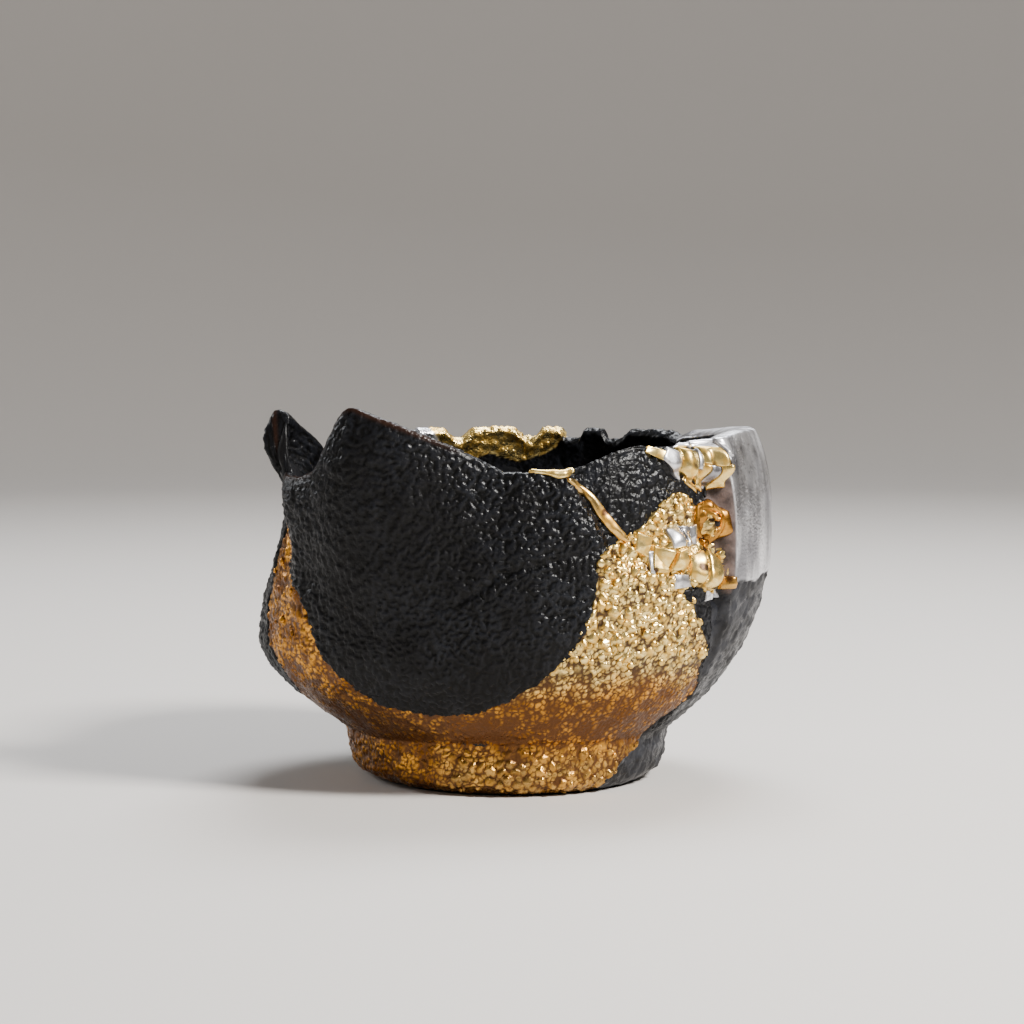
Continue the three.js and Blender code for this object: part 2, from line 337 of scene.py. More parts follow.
degreeWidth = 0.9  # millimetres of wall for one degree
goldToStone = [  # the edge that the gold and the broken stone share, from the foot upwards
    (24, -6), (29, -1), (33, 2), (40, 5), (47.5, 9), (52.2, 12.6), (54.3, 16.6), (60.7, 20.1), (62, 23.4),
    (58.6, 28.7), (59.1, 33), (57.6, 35.5), (53.1, 40.6), (50, 45), (47.5, 47.5),
]
zones = {
    "gold": [
        (-63, 67), (-60, 62), (-60.5, 57), (-63, 53), (-60, 48.5), (-56.5, 45.8), (-54, 38.6), (-50.6, 31.9),
        (-45.3, 26.3), (-37.7, 21.3), (-24.7, 20.2), (-10.2, 20.9), (4, 26.6), (14.3, 34.7), (19.3, 42.6),
        (21.2, 50.4), (21.5, 55.6), (25.6, 58.3), (30.9, 60.8), (36.4, 63.3), (40, 66.6), (42.3, 68.8),
        (46, 70.1), (51, 69.6), (55, 66), (60, 58), (60.6, 50.5), (58, 46), (51, 48.5), *goldToStone[::-1],
        (-104, -6), (-122, 2), (-116, 13), (-96, 18.5), (-82, 19.5), (-72.5, 22), (-70.4, 26), (-70.6, 30),
        (-73, 33.5), (-74.5, 38.8), (-75, 43.4), (-73, 48.4), (-71.5, 52.1), (-69.3, 57), (-67.5, 61),
    ],
    "silver": [
        (61.2, 92), (61.8, 80), (62.0, 70), (62.2, 60), (62.3, 52), (63.5, 48.5), (67, 49.4), (72, 48.3),
        (80, 49.8), (90, 48), (99, 50.5), (108, 55), (113, 63), (117, 72), (119, 92),
    ],
    "stone": [
        *goldToStone, (51, 49), (60, 47), (62.3, 50), (74, 50), (90, 50), (104, 50), (120, 44), (128, 30),
        (122, 14), (114, 4), (110, -6),
    ],
    "clay": [(59.6, 72), (62.2, 73), (62.6, 60), (62.5, 47.5), (60.8, 47.5), (60, 58)],
    "foldBand": [
        (39.4, 94), (39.4, 80.2), (42, 78.4), (45.2, 73.8), (51, 73.0), (55.3, 72.4), (56.6, 70), (56.8, 62),
        (66, 62), (66, 94),
    ],
    "backGold": [(163, 90), (164, 80), (169, 76), (178, 73), (188, 75), (197, 72.5), (205, 77), (208, 90)],
    "backSilver": [(207, 90), (206, 78), (214, 71), (226, 68), (240, 72), (250, 78), (256, 90)],
}
field = {"step": 0.5, "margin": 20, "low": -12, "high": 98}  # where each zone's distance is worked out


def smoothLoop(points, steps=6):  # a closed curve through the points
    p = np.array(points, float)
    before, after, beyond = np.roll(p, 1, 0), np.roll(p, -1, 0), np.roll(p, -2, 0)
    parts = []
    for s in np.linspace(0, 1, steps, endpoint=False):
        square = (2 * before - 5 * p + 4 * after - beyond) * s ** 2
        cube = (3 * p - before - 3 * after + beyond) * s ** 3
        parts.append(0.5 * (2 * p + (after - before) * s + square + cube))
    return np.stack(parts, 1).reshape(-1, p.shape[1])


def outlineDistance(outline, t, z):  # millimetres to the outline, positive inside it
    loop = smoothLoop(outline)
    loop[:, 0] *= degreeWidth
    x = t * degreeWidth
    nearest = np.full(x.shape, 1e9)
    inside = np.zeros(x.shape, bool)
    for (ax, az), (bx, bz) in zip(loop, np.roll(loop, -1, 0)):
        dx, dz = bx - ax, bz - az
        share = np.clip(((x - ax) * dx + (z - az) * dz) / (dx * dx + dz * dz + 1e-12), 0, 1)
        nearest = np.minimum(nearest, (x - ax - share * dx) ** 2 + (z - az - share * dz) ** 2)
        crosses = (az > z) != (bz > z)
        inside ^= crosses & (x < ax + (z - az) * dx / (dz if abs(dz) > 1e-9 else 1e-9))
    return np.where(inside, 1, -1) * np.sqrt(nearest)


def makeField(outline):  # the distance on an even grid, to be looked up
    first = min(a for a, _ in outline) - field["margin"]
    last = max(a for a, _ in outline) + field["margin"]
    turns = np.arange(first, last, field["step"])
    heights = np.arange(field["low"], field["high"], field["step"])
    return first, outlineDistance(outline, *np.meshgrid(turns, heights, indexing="ij"))


fields = {name: makeField(outline) for name, outline in zones.items()}


def zoneDistance(name, t, z):
    first, grid = fields[name]
    x = np.clip((t - first) / field["step"], 0, grid.shape[0] - 1.001)
    y = np.clip((z - field["low"]) / field["step"], 0, grid.shape[1] - 1.001)
    i, j = x.astype(int), y.astype(int)
    low = mix(grid[i, j], grid[i + 1, j], x - i)
    high = mix(grid[i, j + 1], grid[i + 1, j + 1], x - i)
    return mix(low, high, y - j)


def zoneShare(name, t, z, wander, soft):  # 1 inside the zone, 0 outside, over a soft edge
    return np.clip(0.5 + (zoneDistance(name, t, z) + wander) / soft, 0, 1)


def edgeWander(p):  # how a zone's edge strays from its outline
    return 0.75 * softNoise(p, 3.4, 5) + 0.35 * softNoise(p, 1.3, 6)


print("stage: zones drawn")


# Mesh making

def addObject(name, data):
    made = bpy.data.objects.new(name, data)
    bpy.context.scene.collection.objects.link(made)
    return made


def smoothObject(name, spots, faces):  # spots in metres
    mesh = bpy.data.meshes.new(name)
    mesh.from_pydata(spots.tolist(), [], faces)
    mesh.update()
    mesh.polygons.foreach_set("use_smooth", np.ones(len(mesh.polygons), bool))
    return addObject(name, mesh)


def meshObject(name, spots, faces):  # a piece of the bowl: none of its points leaves the solid's own box
    return smoothObject(name, np.clip(spots, boxLow, boxHigh) * mm, faces)


def ringFaces(first, rings, columns):  # four-cornered faces between closed rings of points
    faces = []
    for low in range(first, first + (rings - 1) * columns, columns):
        for i in range(columns):
            after, high = (i + 1) % columns, low + columns
            faces.append([low + i, low + after, high + after, high + i])
    return faces


def addAttribute(piece, name, values):
    attribute = piece.data.attributes.new(name, "FLOAT", "POINT")
    attribute.data.foreach_set("value", np.asarray(values, np.float32))


def sharpenEdges(piece, pairs):  # keeps the shading of a shell's front apart from its hidden side
    ends = np.zeros(len(piece.data.edges) * 2, np.int32)
    piece.data.edges.foreach_get("vertices", ends)
    ends = np.sort(ends.reshape(-1, 2), axis=1).astype(np.int64)
    wanted = np.sort(np.array(pairs), axis=1).astype(np.int64)
    big = len(piece.data.vertices) + 1
    isSharp = np.isin(ends[:, 0] * big + ends[:, 1], wanted[:, 0] * big + wanted[:, 1])
    sharp = piece.data.attributes.new("sharp_edge", "BOOLEAN", "EDGE")
    sharp.data.foreach_set("value", isSharp)


def reported(piece):
    print("stage:", piece.name, sum(len(p.vertices) - 2 for p in piece.data.polygons), "triangles")
    return piece


def ringOf(i0, i1, j0, j1):  # the grid points round a block of cells, in order
    ring = [(i, j0) for i in range(i0, i1)] + [(i1, j) for j in range(j0, j1)]
    return ring + [(i, j1) for i in range(i1, i0, -1)] + [(i0, j) for j in range(j1, j0, -1)]


# A shell of glaze or lustre on the wall. Its face carries the relief, its edge dives under its
# neighbours, and its hidden back is closed with larger cells.

backBlock = 8  # cells of the face that one cell of the back spans
cellDegree = 0.873  # millimetres that one degree counts for when the cells are laid out
borders = [  # the neighbour on each side of a cell, and the ends of the edge it shares
    ((0, -1), (0, 0), (1, 0)),
    ((1, 0), (1, 0), (1, 1)),
    ((0, 1), (1, 1), (0, 1)),
    ((-1, 0), (0, 1), (0, 0)),
]


def backCellsOf(kept):
    cells = []
    for a in range(0, kept.shape[0], backBlock):
        for b in range(0, kept.shape[1], backBlock):
            part = kept[a:a + backBlock, b:b + backBlock]
            if part.shape == (backBlock, backBlock) and part.all():
                cells.append((a, a + backBlock, b, b + backBlock))
            else:
                cells += [(a + x, a + x + 1, b + y, b + y + 1) for x, y in zip(*np.nonzero(part))]
    return cells


def borderEdges(kept):  # the edges between kept cells and the rest, as pairs of grid points
    padded = np.pad(kept, 1)
    edges = []
    for (di, dj), first, last in borders:
        beside = padded[1 + di:1 + di + kept.shape[0], 1 + dj:1 + dj + kept.shape[1]]
        for x, y in zip(*np.nonzero(kept & ~beside)):
            edges.append(((x + first[0], y + first[1]), (x + last[0], y + last[1])))
    return edges


def buildShell(name, spec, distanceAt, reliefAt):
    angles = np.arange(spec["from"], spec["to"] + 1e-6, spec["cell"] / cellDegree)
    along = np.arange(spec["low"], spec["high"] + 1e-6, spec["cell"])
    turns, runs = (grid.ravel() for grid in np.meshgrid(angles, along, indexing="ij"))
    spots = sheetPoint(turns, runs)
    distance = distanceAt(spots, turns, runs)
    near = (distance > -spec["skirt"]).reshape(len(angles), len(along))
    kept = near[:-1, :-1] & near[1:, :-1] & near[:-1, 1:] & near[1:, 1:]
    used = np.zeros_like(near)
    for di, dj in np.ndindex(2, 2):
        used[di:di + kept.shape[0], dj:dj + kept.shape[1]] |= kept
    chosen = np.flatnonzero(used.ravel())
    number = np.full(used.size, -1)
    number[chosen] = np.arange(len(chosen))
    number = number.reshape(used.shape)
    spots, turns, runs, distance = spots[chosen], turns[chosen], runs[chosen], distance[chosen]
    normals = sheetNormal(turns, runs)
    lift, values = reliefAt(spots, turns, runs, distance)
    i, j = np.nonzero(kept)
    faces = np.stack([number[i, j], number[i + 1, j], number[i + 1, j + 1], number[i, j + 1]], 1).tolist()
    backCells, edges = backCellsOf(kept), borderEdges(kept)
    backUsed = {spot for edge in edges for spot in edge}
    for i0, i1, j0, j1 in backCells:
        backUsed.update(((i0, j0), (i1, j0), (i1, j1), (i0, j1)))
    backOrder = sorted(backUsed)
    backNumber = {spot: len(spots) + n for n, spot in enumerate(backOrder)}
    source = number[tuple(np.array(backOrder).T)]
    for cell in backCells:
        faces.append([backNumber[spot] for spot in reversed(ringOf(*cell)) if spot in backUsed])
    for start, end in edges:
        faces.append([int(number[end]), int(number[start]), backNumber[start], backNumber[end]])
    back = spots[source] - normals[source] * spec["depth"]
    piece = meshObject(name, np.concatenate([spots + normals * lift[:, None], back]), faces)
    sharpenEdges(piece, [(number[start], number[end]) for start, end in edges])
    for key, value in values.items():
        addAttribute(piece, key, np.concatenate([value, value[source]]))
    addAttribute(piece, "face", np.arange(len(piece.data.vertices)) < len(spots))
    return reported(piece)


# Relief of each finish, in millimetres above the wall, with values that its colour follows

leather = {"wave": 1.0, "deep": 0.34, "ridge": (-0.36, 0.34), "fineWave": 0.6, "fine": 0.08, "broadWave": 8.0,
           "broad": 0.30, "bead": 1.8, "beadRadius": 0.55, "beads": 0.28, "beadSpan": (-42, -8),
           "crease": 0.5, "creaseHalf": 1.3}
crease = [(30, 60), (11.5, 56.2), (-3.9, 53), (-9, 49), (-14, 47)]  # a soft fold across the skin
nugget = {"large": 2.3, "small": 1.2, "radius": 0.8, "tall": 1.1, "crumb": 0.32, "pitShare": 0.2,
          "front": (27, 36), "foot": (9, 14), "leftToRight": (-45, 0), "waist": (10, 14, 18, 25)}
rock = {"size": 2.6, "tall": 0.8, "fineSize": 1.1, "fine": 0.3}
silk = {"wave": 7.0, "tall": 0.16, "streak": 1.6, "streakTall": 0.06}


def pathDistance(path, t, z):  # millimetres from a line of (angle, height) points
    nearest = np.full(t.shape, 1e3)
    for (at, az), (bt, bz) in zip(path, path[1:]):
        dx, dz = (bt - at) * degreeWidth, bz - az
        share = np.clip(((t - at) * degreeWidth * dx + (z - az) * dz) / (dx * dx + dz * dz), 0, 1)
        nearest = np.minimum(nearest, np.hypot((t - at) * degreeWidth - share * dx, z - az - share * dz))
    return nearest


def dome(away, radius):
    return np.clip(1 - (away / radius) ** 2, 0, 1)


def leatherHeight(p, t):  # short winding ridges, turning to beads towards the beak
    bent = swirled(p, 2.2, 0.5, 3)
    ridges = ramp(softNoise(bent, leather["wave"], 11), *leather["ridge"])
    first, _, own = lumps(swirled(p, 1.4, 0.25, 8), leather["bead"], 41)
    beads = dome(first, leather["beadRadius"]) * (own > 0.25)
    beaded = 1 - ramp(wrap(t), *leather["beadSpan"])
    height = leather["deep"] * ridges * (1 - 0.35 * beaded) + leather["beads"] * beads * beaded
    height += leather["fine"] * softNoise(p, leather["fineWave"], 21)
    height -= leather["crease"] * (1 - ramp(pathDistance(crease, t, p[:, 2]), 0, leather["creaseHalf"]))
    return height + leather["broad"] * softNoise(p, leather["broadWave"], 31), ridges


def coarseShare(p, t):  # where the gold lies in large nuggets: high on the front, and round the foot
    z = p[:, 2]
    coarse = ramp(z + 2.5 * softNoise(p, 6, 71), *nugget["front"]) + 0.8 * (1 - ramp(z, *nugget["foot"]))
    return coarse * mix(0.45, 1.0, ramp(wrap(t), *nugget["leftToRight"]))


def nuggetHeight(p, t):  # crumbly nuggets with gaps and pits between them
    bent = swirled(p, 1.8, 0.5, 13)
    first, second, own = lumps(bent, nugget["large"], 51)
    crown = 0.35 + 0.65 * dome(first, nugget["radius"])
    large = np.clip((second - first) * 2.6, 0, 1) * crown * (0.3 + 0.7 * own)
    large *= own > nugget["pitShare"]
    first, second, own = lumps(bent, nugget["small"], 61)
    small = np.clip((second - first) * 3.0, 0, 1) * (0.4 + 0.6 * dome(first, nugget["radius"]))
    small *= 0.35 + 0.65 * ramp(softNoise(p, 2.6, 63), -0.5, 0.3)
    coarse = coarseShare(p, t)
    waist = hill(p[:, 2], *nugget["waist"])
    height = nugget["tall"] * coarse * large + nugget["crumb"] * small * (1.25 - coarse) * (1 - 0.55 * waist)
    height += 0.10 * softNoise(p, 0.5, 81) + 0.25 * softNoise(p, 5, 82)
    # At the waist the relief value is held lower, so that the colour leans to the darker gap tone there:
    # painted shade.
    return height, np.maximum(large * coarse, small * 0.7 * (1 - 0.5 * waist))


def rockHeight(p):  # sharp broken crystals
    first, _, own = lumps(swirled(p, 3.0, 0.6, 91), rock["size"], 92)
    large = (1 - first) * (0.4 + 0.6 * own)
    first, _, _ = lumps(p, rock["fineSize"], 95)
    return rock["tall"] * (large - 0.3) + rock["fine"] * (0.6 - first) + 0.08 * softNoise(p, 0.45, 97), own


def silkHeight(p):  # smooth metal drawn upwards
    waves = softNoise(p * np.array([1, 1, 0.35]), silk["wave"], 101)
    streaks = softNoise(p * np.array([1, 1, 0.12]), silk["streak"], 102)
    return silk["tall"] * waves + silk["streakTall"] * streaks


def isOutside(s):
    return s < rimStart + rimSpan * 0.5


def overRim(s):  # 1 on the rim itself
    return hill(s, rimStart - 1.5, rimStart + 0.5, rimEnd - 0.5, rimEnd + 2)


def innerShare(s):  # 1 down the inside
    return ramp(s, rimEnd, rimEnd + 3)


# Black skin over the front and the beak

frontSkin = {"from": -98.0, "to": 59.0, "low": 14.0, "high": 90.0, "cell": 0.31, "skirt": 0.75, "depth": 1.15,
             "lift": -0.11, "dive": 0.95}


def frontSkinDistance(p, t, s):
    outside = np.minimum(-zoneDistance("gold", t, p[:, 2]), -zoneDistance("foldBand", t, p[:, 2]))
    inside = np.where(t > 38, 5 - 6 * ramp(s, rimStart, rimStart + 3), 5.0)
    return np.where(isOutside(s), outside + edgeWander(p), inside)


def skinRelief(p, t, s, distance):
    height, ridges = leatherHeight(p, t)
    lifted = frontSkin["lift"] + height * (1 - 0.45 * overRim(s))
    lift = mix(-frontSkin["dive"], lifted, ramp(distance, -0.55, 0.2))
    lip = hill(s, rimStart - 0.8, rimStart + 0.3, rimStart + 0.9, rimStart + 1.8)  # brown, thin skin
    return lift * ramp(p[:, 2], 0, 1), {"relief": ridges, "lip": lip * ramp(-wrap(t), 12, 22)}


# Gold crust on the front, the foot and the tongue left of the beak

goldCrust = {"from": -98.0, "to": 63.0, "low": 0.6, "high": 70.0, "cell": 0.29, "skirt": 0.6, "depth": 1.3,
             "lift": -0.35, "dive": 1.0}


def goldDistance(p, t, s):
    return zoneDistance("gold", t, p[:, 2]) + 0.8 * edgeWander(p) + 0.6


def goldRelief(p, t, s, distance):
    z = p[:, 2]
    height, grains = nuggetHeight(p, t)
    lift = mix(-goldCrust["dive"], goldCrust["lift"] + height, ramp(distance, -0.4, 0.5))
    # Painted shade and painted dark reflection: the warm share turns the gold a darker copper-brown low down
    # round the waist and on the left of the front, over the copper tone that parts of the lustre have.
    warm = 1 - ramp(z + 3 * softNoise(p, 7, 111), 22, 33)  # copper-brown round the waist and at the left, partly the lustre's copper and partly painted shade
    warm = np.maximum(warm * mix(0.75, 1, ramp(z, 6, 13)), 1 - ramp(wrap(t), -34, 4))
    scatter = np.clip(coarseShare(p, t), 0, 1) * ramp(distance, 0.4, 1.4) * (1 - 0.6 * warm)
    scatter *= mix(0.35, 1, ramp(z, 12, 24))
    return lift * ramp(z, 0, 1.5), {"relief": grains, "warm": warm, "scatter": scatter}


# The torn side: silver slab above, broken stone below, bare clay on the step between

tornSide = {"from": 24.0, "to": 122.0, "low": 0.6, "high": 90.0, "cell": 0.37, "skirt": 0.6, "depth": 1.2,
            "lift": -0.25, "dive": 0.9}


def tornSideDistance(p, t, s):
    silver, clay = zoneDistance("silver", t, p[:, 2]), zoneDistance("clay", t, p[:, 2])
    stone = zoneDistance("stone", t, p[:, 2]) + 0.5 * edgeWander(p)
    outside = np.maximum(np.maximum(silver, stone), clay) + 0.4
    return np.where(isOutside(s), outside, np.minimum(t - 60, 6.0) * degreeWidth)


def tornSideRelief(p, t, s, distance):
    wander = (edgeWander(p) + 0.8 * softNoise(p, 2.0, 121)) * 0.7
    silver = np.where(isOutside(s), zoneShare("silver", t, p[:, 2], wander, 0.5), 1 - innerShare(s))
    clay = zoneShare("clay", t, p[:, 2], 0, 0.4) * isOutside(s)
    broken, grains = rockHeight(p)
    height = mix(broken * (1 - 0.5 * innerShare(s)), 0.35 + silkHeight(p), silver)
    height = mix(height, 0.2 * softNoise(p, 1.6, 123), clay)
    lift = mix(-tornSide["dive"], tornSide["lift"] + height, ramp(distance, -0.4, 0.3))
    values = {"relief": grains, "silver": silver * (1 - clay), "clay": clay}
    return lift * ramp(p[:, 2], 0, 1.2), values


# Black skin behind, with gold and silver on the torn back rim

backSkin = {"from": 122.0, "to": 262.0, "low": 0.6, "high": 90.0, "cell": 0.47, "skirt": 0.6, "depth": 1.15,
            "lift": -0.35}


def backSkinDistance(p, t, s):
    return np.full(len(p), 5.0)


def backRelief(p, t, s, distance):
    height, ridges = leatherHeight(p, t)
    wander = 1.2 * edgeWander(p)
    gold = zoneShare("backGold", t, p[:, 2], wander, 0.6)
    silver = zoneShare("backSilver", t, p[:, 2], wander, 0.6) * (1 - gold)
    crumple, grains = nuggetHeight(p, t)
    height = mix(height * (1 - 0.6 * innerShare(s)), 0.1 + 0.9 * crumple, gold)
    height = mix(height, 0.25 + 2 * silkHeight(p), silver)
    relief = np.where(gold > 0.5, np.maximum(grains, 0.4), ridges)
    values = {"relief": relief, "gold": gold, "silver": silver}
    return (backSkin["lift"] + height) * ramp(p[:, 2], 0, 1.2), values


# The bowl beneath: closed, calm under the shells, and seen inside and underneath

bowl = {"columns": 420, "sink": 0.75, "rows": 40, "rimRows": 6, "innerRows": 34, "floorRows": 18,
        "shellEnd": rimEnd + 11, "shellBlend": 6, "wash": 0.55, "washSpan": (190, 215, 250, 275)}


def insideGrain(p):
    return 0.16 * softNoise(p, 2.2, 131) + 0.25 * softNoise(p, 9, 132)


def buildBowl():
    columns = bowl["columns"]
    angle = np.linspace(-180, 180, columns, endpoint=False)
    flat = np.zeros_like(angle)
    radii = [flat + foot["recessRadius"] * share for share in (0.35, 0.7, 1.0)]
    rings = [place(radius, angle, flat + foot["recess"]) for radius in radii]
    contact = around(foot["contact"], angle) - 0.4
    rings += [place(radius, angle, flat) for radius in (flat + foot["ringInner"], contact)]
    rings = [ring + centre for ring in rings]
    runs = list(np.linspace(0, rimStart, bowl["rows"]))
    runs += [rimStart + rimSpan * k / bowl["rimRows"] for k in range(1, bowl["rimRows"])]
    insideFrom = len(rings) + len(runs)
    runs += list(np.linspace(rimEnd, rimStart + rimEnd - wall["shoulder"], bowl["innerRows"]))
    for s in runs:
        spots = sheetPoint(angle, flat + s)
        seen = ramp(s, bowl["shellEnd"] - bowl["shellBlend"], bowl["shellEnd"])
        lift = insideGrain(spots) * seen - bowl["sink"] * ramp(s, 0, 1.5) * (1 - seen)
        rings.append(spots + sheetNormal(angle, flat + s) * lift[:, None])
    shoulder = innerPoint(angle, flat + wall["shoulder"])
    reach = np.hypot(shoulder[:, 0], shoulder[:, 1])
    for k in range(1, bowl["floorRows"]):
        turn = math.pi / 2 * (1 - k / bowl["floorRows"])
        z = wall["floor"] + (shoulder[:, 2] - wall["floor"]) * (1 - math.cos(turn))
        spots = place(reach * math.sin(turn), angle, z) + centre
        spots[:, 2] += insideGrain(spots)
        rings.append(spots)
    spots = np.concatenate([[centre + (0, 0, foot["recess"]), centre + (0, 0, wall["floor"])], *rings])
    faces = ringFaces(2, len(rings), columns)
    top = 2 + (len(rings) - 1) * columns
    for i in range(columns):
        after = (i + 1) % columns
        faces += [[0, 2 + after, 2 + i], [1, top + i, top + after]]
    piece = meshObject("bowl_body", spots, faces)
    isInside = np.arange(len(spots)) > 2 + insideFrom * columns
    turns = np.mod(np.degrees(np.arctan2(spots[:, 0], -spots[:, 1])), 360)
    wash = ramp(spots[:, 2] + 4 * softNoise(spots, 9, 141), 62, 78) * hill(turns, *bowl["washSpan"])
    addAttribute(piece, "silver", bowl["wash"] * wash * isInside)
    return reported(piece)


bowlPiece = buildBowl()
skinPiece = buildShell("black_skin_front", frontSkin, frontSkinDistance, skinRelief)
goldPiece = buildShell("gold_crust", goldCrust, goldDistance, goldRelief)
sidePiece = buildShell("torn_side", tornSide, tornSideDistance, tornSideRelief)
backPiece = buildShell("black_skin_back", backSkin, backSkinDistance, backRelief)


# Leaves, folds and flakes of lustre that stand out from the wall. Each is a closed crumpled plate, given
# by four corners (angle, height) or by a line of (angle, height, half width).

plate = {"cells": 22, "stripCells": 46, "acrossCells": 12, "depth": 1.1, "dive": 0.6, "crumple": 0.11,
         "creaseWave": 3.4}
goldLeaves = [  # corners from the lower left, anticlockwise, then lift, crown and warmth
    ((38.8, 79.8), (43.6, 77.6), (45.0, 79.6), (40.4, 81.6), 0.35, 0.15, 0.0),
    ((49.6, 75.2), (53.4, 71.8), (55.0, 79.8), (50.2, 80.8), 0.5, 0.5, 0.0),
    ((56.6, 76.6), (61.0, 75.4), (61.6, 80.2), (57.0, 80.6), 0.4, 0.6, 0.0),
    ((54.8, 71.2), (57.0, 69.8), (58.4, 76.4), (56.2, 77.2), 0.3, 0.5, 0.25),
    ((59.6, 70.0), (61.4, 70.8), (61.8, 76.6), (60.2, 76.2), 0.5, 0.4, 0.1),
    ((50.6, 72.4), (55.4, 69.6), (55.6, 71.0), (51.4, 74.2), 0.1, 0.4, 0.5),
    ((36.8, 52.6), (41.6, 51.8), (43.6, 57.6), (38.2, 59.0), 1.1, 0.25, 0.0),
    ((41.9, 52.2), (46.8, 54.0), (46.4, 58.2), (43.9, 57.6), 1.4, 0.1, 0.0),
    ((51.4, 48.6), (60.4, 46.9), (60.6, 50.6), (54.3, 57.6), 1.0, 0.25, 0.0),
    ((48.0, 50.0), (51.2, 49.2), (54.0, 57.4), (49.4, 55.6), 0.8, 0.3, 0.0),
    ((60.6, 47.0), (63.2, 47.4), (63.0, 50.2), (61.0, 50.4), 0.5, 0.8, 0.75),
    ((32.6, 57.6), (36.6, 55.4), (38.6, 60.6), (33.4, 62.2), 0.7, 0.4, 0.0),
]
goldStrips = [  # the line, then lift, crown and warmth
    ([(54.6, 59.2, 0.8), (54.2, 62.6, 1.2), (55.2, 66.4, 1.2), (58.0, 67.4, 1.0), (60.6, 65.4, 0.9),
      (60.8, 60.8, 1.1), (58.4, 57.6, 1.0), (55.2, 58.8, 0.7)], 0.0, 0.8, 0.95),
    ([(55.6, 66.2, 0.5), (57.4, 64.2, 0.8), (59.8, 63.6, 0.6)], -0.1, 0.6, 0.85),
    ([(56.0, 59.4, 0.5), (57.6, 61.2, 0.7), (60.0, 61.4, 0.5)], -0.1, 0.5, 0.85),
]
goldVein = [
    ([(14.0, 74.0, 0.3), (16.7, 73.1, 0.8), (19.2, 71.5, 1.0), (21.6, 69.6, 1.2), (23.6, 66.8, 1.5),
      (26.6, 63.4, 1.5), (29.4, 61.0, 1.2), (31.2, 59.8, 0.5)], 0.3, 0.5, 0.6),
    ([(3.6, 76.5, 0.2), (8.0, 76.2, 0.8), (12.0, 75.7, 1.6), (15.0, 75.9, 1.5), (17.4, 76.2, 0.6)],
     0.35, 0.3, 0.0),
]
silverLeaves = [
    ((42.4, 78.4), (49.6, 72.6), (50.2, 79.4), (45.4, 80.8), 0.35, 0.5, 0.0),
    ((53.8, 75.4), (56.2, 74.6), (57.0, 79.6), (54.8, 80.0), 0.9, 0.8, 0.0),
    ((49.6, 80.6), (63.4, 79.8), (63.4, 83.4), (50.8, 82.8), 0.3, 0.3, 0.0),
    ((61.0, 78.4), (64.8, 77.6), (65.0, 82.2), (61.2, 82.4), 0.9, 0.6, 0.0),
    ((57.4, 70.4), (59.8, 70.2), (60.4, 76.2), (58.6, 76.6), 0.1, 0.4, 0.0),
    ((42.6, 57.6), (46.4, 58.0), (47.2, 63.2), (42.0, 62.4), 0.8, 0.6, 0.0),
    ((46.8, 57.8), (49.8, 58.0), (50.2, 62.8), (47.6, 63.0), 0.9, 0.7, 0.0),
    ((50.2, 57.8), (53.6, 57.8), (53.6, 63.0), (50.8, 62.6), 0.5, 0.9, 0.0),
    ((43.2, 48.4), (49.2, 48.6), (48.2, 51.6), (43.0, 52.0), 0.6, 0.4, 0.0),
    ((53.8, 44.8), (61.0, 45.2), (60.6, 47.4), (54.8, 47.6), 0.3, 0.5, 0.0),
    ((36.2, 52.2), (37.4, 51.8), (38.6, 57.8), (36.6, 57.6), 0.7, 0.4, 0.0),
]


def runAt(t, z):  # where on the sheet the outside has this height
    s = z
    for _ in range(30):
        s = z - riseAt(t, s)
    return s


def leafGrid(leaf):
    *corners, lift, crown, warm = leaf
    u, v = np.meshgrid(*[np.linspace(0, 1, plate["cells"])] * 2, indexing="ij")
    a, b, c, d = (np.array(corner)[:, None, None] for corner in corners)
    turns, heights = mix(mix(a, b, u), mix(d, c, u), v)
    edge = 2 * np.minimum(np.minimum(u, 1 - u), np.minimum(v, 1 - v))
    swell = np.sin(math.pi * u) * np.sin(math.pi * v)
    return turns, heights, lift + 0.5 * crown * swell, edge, warm


def stripGrid(strip):
    line, lift, crown, warm = strip
    line = np.array(line)
    at = np.linspace(0, len(line) - 1, plate["stripCells"])
    turns, heights, half = (np.interp(at, np.arange(len(line)), line[:, k])[:, None] for k in range(3))
    along, up = np.gradient(turns, axis=0) * degreeWidth, np.gradient(heights, axis=0)
    length = np.hypot(along, up)
    v = np.linspace(-1, 1, plate["acrossCells"])[None, :]
    edge = np.minimum(1 - np.abs(v), np.minimum(at, at[-1] - at)[:, None])
    turns = turns - up / length * half * v / degreeWidth
    heights = heights + along / length * half * v
    return turns, heights, lift + crown * (1 - v * v), edge, warm


